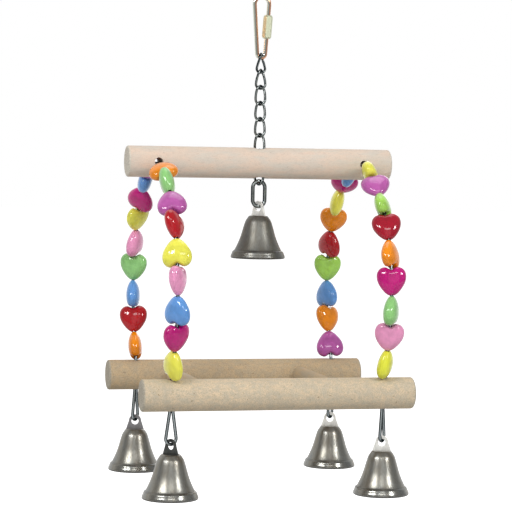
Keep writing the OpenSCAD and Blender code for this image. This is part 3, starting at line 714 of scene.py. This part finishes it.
class Course:
    """Where the wires run and the beads sit: lengths in metres, angles in radians."""

    def __init__(self):
        wire, beads = settings("wire"), settings("beads")
        rail, beam = middle("back_rail"), middle("beam")
        low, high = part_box("beam")
        dowel = high[2] - low[2]
        self.wire = wire.diameter
        self.rail_y, self.rail_z, self.beam_z, self.dowel = rail.y, rail.z, beam.z, dowel
        self.wire_x = joint("right_sway")["pos_m"][0]
        self.beam_wire_z = joint("right_sway")["pos_m"][2]
        self.bend = BEND_RADII * self.wire
        self.lean = lean = wire.lean
        self.rail_bend_z = self.rail_z + dowel / 2 - self.wire
        self.foot_start = Vector((self.rail_y + self.bend * (1 - math.cos(lean)),
                                  self.rail_bend_z + self.bend * math.sin(lean)))
        self.foot_dir = Vector((math.sin(lean), math.cos(lean)))
        self.foot = wire.foot
        foot_end = self.foot_start + self.foot * self.foot_dir
        inward = Vector((-math.cos(lean), math.sin(lean)))
        self.bend_centre = Vector((dowel / 2 - self.wire, self.beam_wire_z - self.bend))
        to_foot = foot_end - self.bend_centre
        self.arch_r = (self.bend ** 2 - to_foot.dot(to_foot)) / (2 * (to_foot.dot(inward) + self.bend))
        self.arch_centre = foot_end + self.arch_r * inward
        top = self.bend_centre - self.arch_centre
        self.arch_top = math.atan2(top.y, top.x)
        half = beads.width / 2
        self.lobe_z = half * math.hypot(CLEFT_SHARE, LIFT_SHARE)
        self.tip_z = -half * CLEFT_SHARE * math.sqrt(1 - (beads.bore / beads.thickness) ** 2)
        self.bead_len = self.lobe_z - self.tip_z
        self.overlap = (self.foot_start - Vector((self.rail_y, self.rail_z + dowel / 2))).length
        self.lift, self.gap, self.nest = beads.lift, beads.gap, beads.nest
        self.loop_top = self.rail_z - dowel / 2
        self.loop_r = (wire.loop_width - self.wire) / 2
        self.eye = self.wire / 2 + HALF_SLACK
        self.neck = NECK_RADII * self.wire
        self.loop_drop = wire.loop_length - self.wire / 2 - self.loop_r

    def at(self, s):
        if s < self.foot:
            return self.foot_start + s * self.foot_dir
        a = -self.lean + (s - self.foot) / self.arch_r
        return self.arch_centre + self.arch_r * Vector((math.cos(a), math.sin(a)))

    def bead(self, n):
        """Middle of bead n in the strand's plane, and the lean of its axis from upright."""
        up = BEADS_A_STRAND - n
        s = (self.lift - self.overlap + self.bead_len / 2 + math.ceil(up / 2) * (self.bead_len + self.gap)
             + (up // 2) * (self.bead_len - self.nest))
        low, high = self.at(s - self.bead_len / 2), self.at(s + self.bead_len / 2)
        chord = high - low
        return ((low + high) / 2 + self.at(s)) / 2, math.atan2(chord.x, chord.y)

    def loop(self, turn):
        """Points of a bell loop round its hole's axis, loose end first."""
        e, r, neck = self.eye, self.loop_r, self.neck
        spread = (math.asin((neck + r) / math.hypot(e + neck, self.loop_drop))
                  - math.atan2(e + neck, self.loop_drop))
        right = arc((e + neck, 0), neck, math.pi, math.pi + spread, 5)
        foot = arc((0, -self.loop_drop), r, spread, -math.pi - spread, 30)
        left = [Vector((-p.x, p.y)) for p in reversed(right)]
        flat = [Vector((e, self.dowel / 3))] + right + foot + left + [Vector((-e, self.wire))]
        return [Vector((p.x * math.cos(turn), p.x * math.sin(turn), self.loop_top + p.y)) for p in flat]

    def strand(self):
        """Points of one strand in its plane, from the rail's hole to the beam."""
        return (arc((self.rail_y + self.bend, self.rail_bend_z), self.bend, math.pi, math.pi - self.lean, 6)
                + arc(self.arch_centre, self.arch_r, -self.lean, self.arch_top, 48)
                + arc(self.bend_centre, self.bend, self.arch_top, math.pi / 2, 4)[1:])


class SWING_OT_wood(bpy.types.Operator):
    """Gives the dowels and the rungs their wood"""
    bl_idname = "swing.wood"
    bl_label = "Wood"

    def execute(self, context):
        half_lengths = ((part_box("beam")[1][0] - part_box("beam")[0][0]) / 2,
                        (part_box("left_rung")[1][1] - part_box("left_rung")[0][1]) / 2)
        for node, (name, tints, along, pores, rough, place) in WOODEN.items():
            dress(node, wood_material(name, tints, along, pores, rough, place, half_lengths[along]))
        return {"FINISHED"}


class SWING_OT_wires(bpy.types.Operator):
    """Makes the two bead wires with their bell loops"""
    bl_idname = "swing.wires"
    bl_label = "Wires"

    def execute(self, context):
        course = Course()
        wire = settings("wire")
        # Painted shade on the wires' sides and on the wire inside the beam's holes
        look = metal_material("Plated Wire", wire.dark, toned(wire.dark, 0.6), wire.tint, painted_side_shade=True,
                              shade_above=course.beam_z - course.dowel / 2)
        for side, x in (("left", -course.wire_x), ("right", course.wire_x)):
            halves = []
            for y_side, corner in ((-1, "front_" + side), (1, "back_" + side)):
                turn = math.radians(LOOP_TURNS[corner])
                hole = Vector((x, y_side * course.rail_y, 0))
                points = [hole + p for p in course.loop(turn)]
                points += [Vector((x, y_side * p.x, p.y)) for p in course.strand()]
                halves.append(points)
            bm = bmesh.new()
            sweep(bm, halves[0] + list(reversed(halves[1])), course.wire / 2, sides=14)
            node = side + "_wire"
            add_object(side + "_bead_wire", finish_mesh(bm, node), look, node)
        return {"FINISHED"}


def evaluated_mesh(obj):
    """The object's mesh with its modifiers and bevels; the object goes."""
    mesh = bpy.data.meshes.new_from_object(obj.evaluated_get(bpy.context.evaluated_depsgraph_get()))
    bpy.data.objects.remove(obj, do_unlink=True)
    return mesh


def bored(solid, bore, reach):
    """The solid with a round hole along Z."""
    bm = bmesh.new()
    turned(bm, [(0, -reach), (bore / 2, -reach), (bore / 2, reach), (0, reach)], 28)
    drill = bpy.data.objects.new("drill", finish_mesh(bm, "drill"))
    body = bpy.data.objects.new("heart", solid)
    for obj in (body, drill):
        bpy.context.scene.collection.objects.link(obj)
    cut = body.modifiers.new("bore", "BOOLEAN")
    cut.object, cut.operation, cut.solver = drill, "DIFFERENCE", "EXACT"
    mesh = evaluated_mesh(body)
    bpy.data.objects.remove(drill, do_unlink=True)
    if not mesh.polygons:
        raise RuntimeError("the heart's bore left nothing")
    return mesh


def heart_mesh(width, thickness, bore, steps_a_stretch=3, layers=11):
    """A puffy heart on its point, cleft up, with a true bore from cleft to point."""
    half = width / 2
    right = smooth_curve([Vector(p) for p in HEART_HALF], steps_a_stretch)
    outline = right + [Vector((-p.x, p.y)) for p in reversed(right[1:-1])]
    crown = Vector((0, HEART_CROWN))
    spokes = []
    for p in outline:
        way = (p - crown).normalized()
        oval = 1 / math.hypot(way.x / HEART_OVAL[0], way.y / HEART_OVAL[1])
        # The lobes end blunt and the point tapers
        spokes.append((way, (p - crown).length, oval, HEART_FULLNESS + LOBE_FULLNESS * way.y))
    bm = bmesh.new()
    sheets = []
    for i in range(-layers, layers + 1):
        if abs(i) == layers:
            sheets.append([bm.verts.new((0, math.copysign(thickness / 2, i), half * crown.y))])
            continue
        a = math.pi / 2 * i / layers
        sheet = []
        for way, far, oval, fullness in spokes:
            reach = math.cos(a) ** (2 / fullness)
            depth = math.copysign(abs(math.sin(a)) ** (2 / fullness), i)
            flat = crown + way * reach * (oval + (far - oval) * reach ** 2)
            sheet.append(bm.verts.new((half * flat.x, depth * thickness / 2, half * flat.y)))
        sheets.append(sheet)
    for a, b in zip(sheets, sheets[1:]):
        for j in range(len(outline)):
            k = (j + 1) % len(outline)
            if len(a) == 1:
                bm.faces.new((a[0], b[j], b[k]))
            elif len(b) == 1:
                bm.faces.new((a[k], a[j], b[0]))
            else:
                bm.faces.new((a[j], b[j], b[k], a[k]))
    mesh = bored(finish_mesh(bm, "heart_solid", 180), bore, width)
    mesh.name = "heart_bead"
    mesh.polygons.foreach_set("use_smooth", [True] * len(mesh.polygons))
    mesh.set_sharp_from_angle(angle=math.radians(60))
    return mesh


class SWING_OT_beads(bpy.types.Operator):
    """Threads the heart beads on the wires"""
    bl_idname = "swing.beads"
    bl_label = "Beads"

    def execute(self, context):
        course = Course()
        beads = settings("beads")
        mesh = heart_mesh(beads.width, beads.thickness, beads.snug_bore)
        mesh.transform(Matrix.Translation((0, 0, -(course.lobe_z + course.tip_z) / 2)))
        looks = {}
        for corner, x_side, y_side in CORNERS:
            for n, tint in enumerate(BEAD_COLOURS[corner].split(), 1):
                if tint not in looks:
                    name = "Bead " + tint.replace("_", " ").title()
                    looks[tint] = bead_material(name, getattr(beads, tint))
                mid, lean = course.bead(n)
                place = (Matrix.Translation((x_side * course.wire_x, y_side * mid.x, mid.y))
                         @ Matrix.Rotation(-y_side * lean, 4, "X")
                         @ Matrix.Rotation(math.radians(BEAD_TURNS[corner][n - 1]), 4, "Z")
                         @ Matrix.Rotation(math.pi if n % 2 else 0, 4, "X"))
                ends = n in (1, BEADS_A_STRAND)
                node = corner.split("_")[1] + "_end_beads" if ends else "%s_bead_%d" % (corner, n)
                add_object("%s_heart_%d" % (corner, n), mesh, looks[tint], node, place)
        return {"FINISHED"}


def wire_oval(width, height, wire, steps, leg_steps=8):
    """Points of an upright oval of wire in the XZ plane, wire's middle, round once."""
    r = (width - wire) / 2
    leg = (height - width) / 2
    points = []
    for sign, start in ((1, 0), (-1, math.pi)):
        points += [Vector((r * math.cos(start + math.pi * i / steps), 0,
                           sign * leg + r * math.sin(start + math.pi * i / steps))) for i in range(steps + 1)]
        points += [Vector((-sign * r, 0, sign * leg * (1 - 2 * i / leg_steps)))
                   for i in range(1, leg_steps)]
    return points


class SWING_OT_chain(bpy.types.Operator):
    """Makes the twisted chain links and the centre ring"""
    bl_idname = "swing.chain"
    bl_label = "Chain"

    def execute(self, context):
        chain = settings("chain")
        # Painted shade on the links' sides, and painted glints in random blotches
        look = metal_material("Chain Nickel", chain.nickel, toned(chain.nickel, 0.6), chain.glint,
                              painted_side_shade=True)
        count = sum(1 for node in frame["nodes"] if node.startswith("chain_link_"))
        half = (chain.length - chain.wire) / 2
        flat = wire_oval(chain.width, chain.length, chain.wire, 14)
        points, ups = [], []
        for p in flat:
            a = LINK_TWIST / 2 * p.z / half
            points.append(Vector((p.x * math.cos(a), p.x * math.sin(a), p.z)))
            ups.append(Vector((-math.sin(a), math.cos(a), 0)))
        bm = bmesh.new()
        sweep(bm, points, chain.wire / 2, sides=12, closed=True, ups=ups)
        mesh = finish_mesh(bm, "twisted_link")
        for n in range(1, count + 1):
            # The last two links at either end share its turn
            turn = (chain.first_turn * max(0, 3 - n) + chain.last_turn * max(0, n - count + 2)) / 2
            node = "chain_link_%d" % n
            place = Matrix.Translation(middle(node)) @ Matrix.Rotation(turn, 4, "Z")
            add_object("twisted_link_%d" % n, mesh, look, node, place)
        bm = bmesh.new()
        sweep(bm, wire_oval(chain.ring_width, chain.ring_height, chain.ring_wire, 20), chain.ring_wire / 2,
              closed=True)
        add_object("oval_ring", finish_mesh(bm, "oval_ring"), look, "centre_ring",
                   Matrix.Translation(middle("centre_ring")) @ Matrix.Rotation(chain.ring_turn, 4, "Z"))
        return {"FINISHED"}


def hanger_course(hanger):
    """Points of the hanger's wire, from under its opening round the foot and the top to over the opening."""
    w = hanger.wire
    top_r, foot_r = (hanger.top_width - w) / 2, (hanger.foot_width - w) / 2
    top_z = -(top_r - w / 2)
    foot_z = -(hanger.height - 2 * w) + foot_r - w / 2
    slant = math.asin((top_r - foot_r) / (top_z - foot_z))
    down = Vector((-math.sin(slant), -math.cos(slant)))
    start = Vector((top_r * math.cos(slant), top_z - top_r * math.sin(slant)))
    sleeve_down = (hanger.sleeve_drop - w + top_z) / math.cos(slant) - top_r * math.tan(slant)
    gap_end = sleeve_down + hanger.sleeve_length / 2 - SLEEVE_GRIP * w
    gap_start = gap_end - hanger.opening
    flat = ([start + gap_end * down]
            + arc((0, foot_z), foot_r, -slant, -math.pi + slant, 20)
            + arc((0, top_z), top_r, math.pi + slant, -slant, 28)
            + [start + gap_start * down])
    return [Vector((p.x, 0, p.y)) for p in flat]


class SWING_OT_hanger(bpy.types.Operator):
    """Makes the hanger link and finishes its screw sleeve"""
    bl_idname = "swing.hanger"
    bl_label = "Hanger"

    def execute(self, context):
        hanger, wire = settings("hanger"), settings("wire")
        bm = bmesh.new()
        sweep(bm, hanger_course(hanger), hanger.wire / 2, sides=20)
        # Painted warm reflection on the wire's right side, behind a band of painted dark reflection
        look = metal_material("Hanger Steel", wire.pale, toned(wire.pale, 0.85), wire.warm, warm_reflection_right=True)
        add_object("hanger_wire", finish_mesh(bm, "hanger_wire"), look, "hanger_link")
        dress("hanger_sleeve", metal_material("Sleeve Steel", wire.brass, toned(wire.brass, 0.82), wire.warm))
        return {"FINISHED"}


def ear_mesh(bell):
    """The flat ear: a tapering sheet with a round top and a round hole."""
    outline = [(-bell.ear_foot / 2, -bell.wall / 2), (bell.ear_foot / 2, -bell.wall / 2)]
    top = bell.ear_height - bell.ear_top / 2
    outline += [tuple(p) for p in arc((0, top), bell.ear_top / 2, 0, math.pi, 20)]
    hole = [tuple(p) for p in arc((0, bell.ear_hole_up), bell.ear_hole / 2, 0, 2 * math.pi, 32)][:-1]
    curve = bpy.data.curves.new("ear", "CURVE")
    curve.dimensions, curve.fill_mode = "2D", "BOTH"
    edge = bell.ear_sheet * EAR_EDGE
    curve.bevel_depth, curve.bevel_resolution = edge, 2
    curve.offset = -edge
    curve.extrude = bell.ear_sheet / 2 - edge
    for loop in (outline, hole):
        spline = curve.splines.new("POLY")
        spline.points.add(len(loop) - 1)
        for point, (x, y) in zip(spline.points, loop):
            point.co = (x, y, 0, 1)
        spline.use_cyclic_u = True
    obj = bpy.data.objects.new("ear", curve)
    bpy.context.scene.collection.objects.link(obj)
    mesh = evaluated_mesh(obj)
    mesh.transform(Matrix.Rotation(math.pi / 2, 4, "X"))
    return mesh


def bell_mesh(bell):
    """A bell hung from the middle of its crown: shell and staple in its first material, ear in its second."""
    bm = bmesh.new()
    turned(bm, [(out * bell.mouth / 2, up * bell.height) for out, up in BELL_OUTSIDE + BELL_INSIDE])
    radius, leg = bell.wall * STAPLE_RADIUS, bell.wall * STAPLE_LEG
    bow = [Vector((p.x, 0, p.y - bell.wall - leg)) for p in arc((0, 0), radius, math.pi, 2 * math.pi, 16)]
    sweep(bm, [Vector((-radius, 0, -bell.wall / 2))] + bow + [Vector((radius, 0, -bell.wall / 2))],
          bell.wall / 2, sides=10)
    shell_faces = len(bm.faces)
    bm.from_mesh(ear_mesh(bell))
    bm.faces.ensure_lookup_table()
    for face in bm.faces[shell_faces:]:
        face.material_index = 1
    return finish_mesh(bm, "bell", 30)


class SWING_OT_bells(bpy.types.Operator):
    """Makes the five bells with their ears and staples, and gives the clappers their material"""
    bl_idname = "swing.bells"
    bl_label = "Bells"

    def execute(self, context):
        bell = settings("bells")
        looks = {"centre": bell_material("Centre Bell Pewter", roughness=0.42, depth=0.4)}
        corner_look = bell_material("Corner Bell Pewter", roughness=0.30, depth=0.12)
        ears = {}
        # Lit and shaded copies of one nickel for the ears: a lit bright one, and grey and dark ones with
        # painted shade
        for ear_light in ("Bright", "Grey", "Dark"):
            tint = getattr(bell, "ear_" + ear_light.lower())
            ears[ear_light] = metal_material(ear_light + " Ear Nickel With Painted Light", tint, toned(tint, 0.86), bell.pewter)
        dark = metal_material("Clapper Nickel", settings("chain").nickel, bell.shade, bell.olive)
        shape = bell_mesh(bell)
        for corner in list(LOOP_TURNS) + ["centre"]:
            node = corner + "_bell"
            low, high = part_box(node)
            crown = Vector(((low[0] + high[0]) / 2, (low[1] + high[1]) / 2, low[2] + bell.height))
            mesh = shape.copy()
            mesh.name = node
            mesh.transform(Matrix.Rotation(math.radians(BELL_TURNS[corner]), 4, "Z"))
            look = looks.get(corner, corner_look)
            mesh.materials.append(look)
            mesh.materials.append(ears[EAR_PAINTED_LIGHT.get(corner, "Bright")])
            add_object(corner + "_turned_bell", mesh, look, node, Matrix.Translation(crown))
            dress(corner + "_clapper", dark)
        return {"FINISHED"}


def shown(n, room_light, behind):
    """Full where the camera sees it. Mirrors see the room's level in front and the full one behind."""
    rays = n.add("ShaderNodeLightPath").outputs
    backdrop = n.plus(room_light, n.times(behind, 1.0 - room_light))
    mirrored = n.times(backdrop, n.larger(rays["Is Glossy Ray"], rays["Is Transmission Ray"]))
    return n.larger(rays["Is Camera Ray"], mirrored)


def add_world(stage):
    world = bpy.data.worlds.new("Soft Studio")
    bpy.context.scene.world = world
    world.use_nodes = True
    n = Nodes(world.node_tree)
    sky = world.node_tree.nodes["Background"].inputs
    way = n.axes(n.add("ShaderNodeTexCoord").outputs["Generated"])
    seen = shown(n, stage.room_light, n.ramp(way[1], *WORLD_BACKDROP))
    n.set(sky["Strength"], n.larger(stage.world_light, seen))
    sky["Color"].default_value = (1, 1, 1, 1)


def add_floor(stage):
    bm = bmesh.new()
    bmesh.ops.create_grid(bm, x_segments=2, y_segments=2, size=stage.floor_size / 2)
    floor = bpy.data.objects.new("studio_floor", finish_mesh(bm, "studio_floor"))
    bpy.context.scene.collection.objects.link(floor)
    floor.location.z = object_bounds()[0][2] - stage.floor_drop
    made, n, shader, coords = material("Studio Floor", Roughness=0.9, Specular_IOR_Level=0.0,
                                       Emission_Color=(1, 1, 1, 1))
    n.set(shader["Base Color"], n.mix(n.noise(coords, 3.0), (0.60, 0.60, 0.60, 1), (0.62, 0.62, 0.62, 1)))
    seen = shown(n, stage.room_light, n.ramp(n.axes(coords)[1], *FLOOR_BACKDROP))
    n.set(shader["Emission Strength"], n.times(seen, FLOOR_LIGHT))
    floor.data.materials.append(made)
    floor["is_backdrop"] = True


def add_lamps(target):
    for name, place, width, height, power in LAMPS:
        lamp = bpy.data.lights.new(name, "AREA")
        lamp.shape, lamp.size, lamp.size_y, lamp.energy = "RECTANGLE", width, height, power
        obj = bpy.data.objects.new(name, lamp)
        bpy.context.scene.collection.objects.link(obj)
        obj.location = target + Vector(place)
        obj.rotation_euler = (target - obj.location).to_track_quat("-Z", "Y").to_euler()


def add_camera(target):
    yaw, pitch, roll = (math.radians(a) for a in (CAMERA_YAW, CAMERA_PITCH, CAMERA_ROLL))
    back = Vector((math.sin(yaw) * math.cos(pitch), -math.cos(yaw) * math.cos(pitch), math.sin(pitch)))
    right = (-back).cross(Vector((0, 0, 1))).normalized()
    up = right.cross(-back)
    x_axis = right * math.cos(roll) + up * math.sin(roll)
    y_axis = -right * math.sin(roll) + up * math.cos(roll)
    lens = bpy.data.cameras.new("Camera")
    lens.lens, lens.sensor_width = FOCAL_LENGTH * SENSOR_WIDTH, SENSOR_WIDTH
    lens.clip_start, lens.clip_end = 0.05, 50
    camera = bpy.data.objects.new("Camera", lens)
    bpy.context.scene.collection.objects.link(camera)
    aim = target - Vector((AIM_LEFT * MM, 0, 0))
    camera.matrix_world = (Matrix.Translation(aim + back * CAMERA_DISTANCE * MM)
                           @ Matrix((x_axis, y_axis, back)).transposed().to_4x4())
    bpy.context.scene.camera = camera


class SWING_OT_stage(bpy.types.Operator):
    """Sets the pale floor, the soft light and the camera"""
    bl_idname = "swing.stage"
    bl_label = "Stage"

    def execute(self, context):
        stage = settings("stage")
        context.scene.view_settings.view_transform = "Standard"
        add_world(stage)
        add_floor(stage)
        target = Vector((0, 0, middle("beam").z - AIM_BELOW_BEAM * MM))
        add_lamps(target)
        add_camera(target)
        return {"FINISHED"}


class SWING_PT_panel(bpy.types.Panel):
    """Lists the swing's steps in the sidebar"""
    bl_idname = "SWING_PT_panel"
    bl_label = "Bird Swing"
    bl_space_type = "VIEW_3D"
    bl_region_type = "UI"
    bl_category = "Bird Swing"

    def draw(self, context):
        for step in STEPS:
            self.layout.operator(step.bl_idname)
        for name in GROUPS:
            box = self.layout.box()
            box.label(text=name.title())
            owner = settings(name)
            for key in owner.bl_rna.properties.keys():
                if key not in ("name", "rna_type"):
                    box.prop(owner, key)


STEPS = (SWING_OT_wood, SWING_OT_wires, SWING_OT_beads, SWING_OT_chain, SWING_OT_hanger, SWING_OT_bells,
         SWING_OT_stage)
GROUPS = {"wood": WoodSettings, "wire": WireSettings, "beads": BeadSettings, "chain": ChainSettings,
          "hanger": HangerSettings, "bells": BellSettings, "stage": StageSettings}


def register():
    for name, kind in GROUPS.items():
        bpy.utils.register_class(kind)
        setattr(bpy.types.Scene, "swing_" + name, PointerProperty(type=kind))
    for kind in STEPS + (SWING_PT_panel,):
        bpy.utils.register_class(kind)


def unregister():
    for kind in (SWING_PT_panel,) + STEPS[::-1]:
        bpy.utils.unregister_class(kind)
    for name, kind in GROUPS.items():
        delattr(bpy.types.Scene, "swing_" + name)
        bpy.utils.unregister_class(kind)


def main():
    register()
    for step in ("wood", "wires", "beads", "chain", "hanger", "bells", "stage"):
        getattr(bpy.ops.swing, step)()


if __name__ == "__main__":
    main()
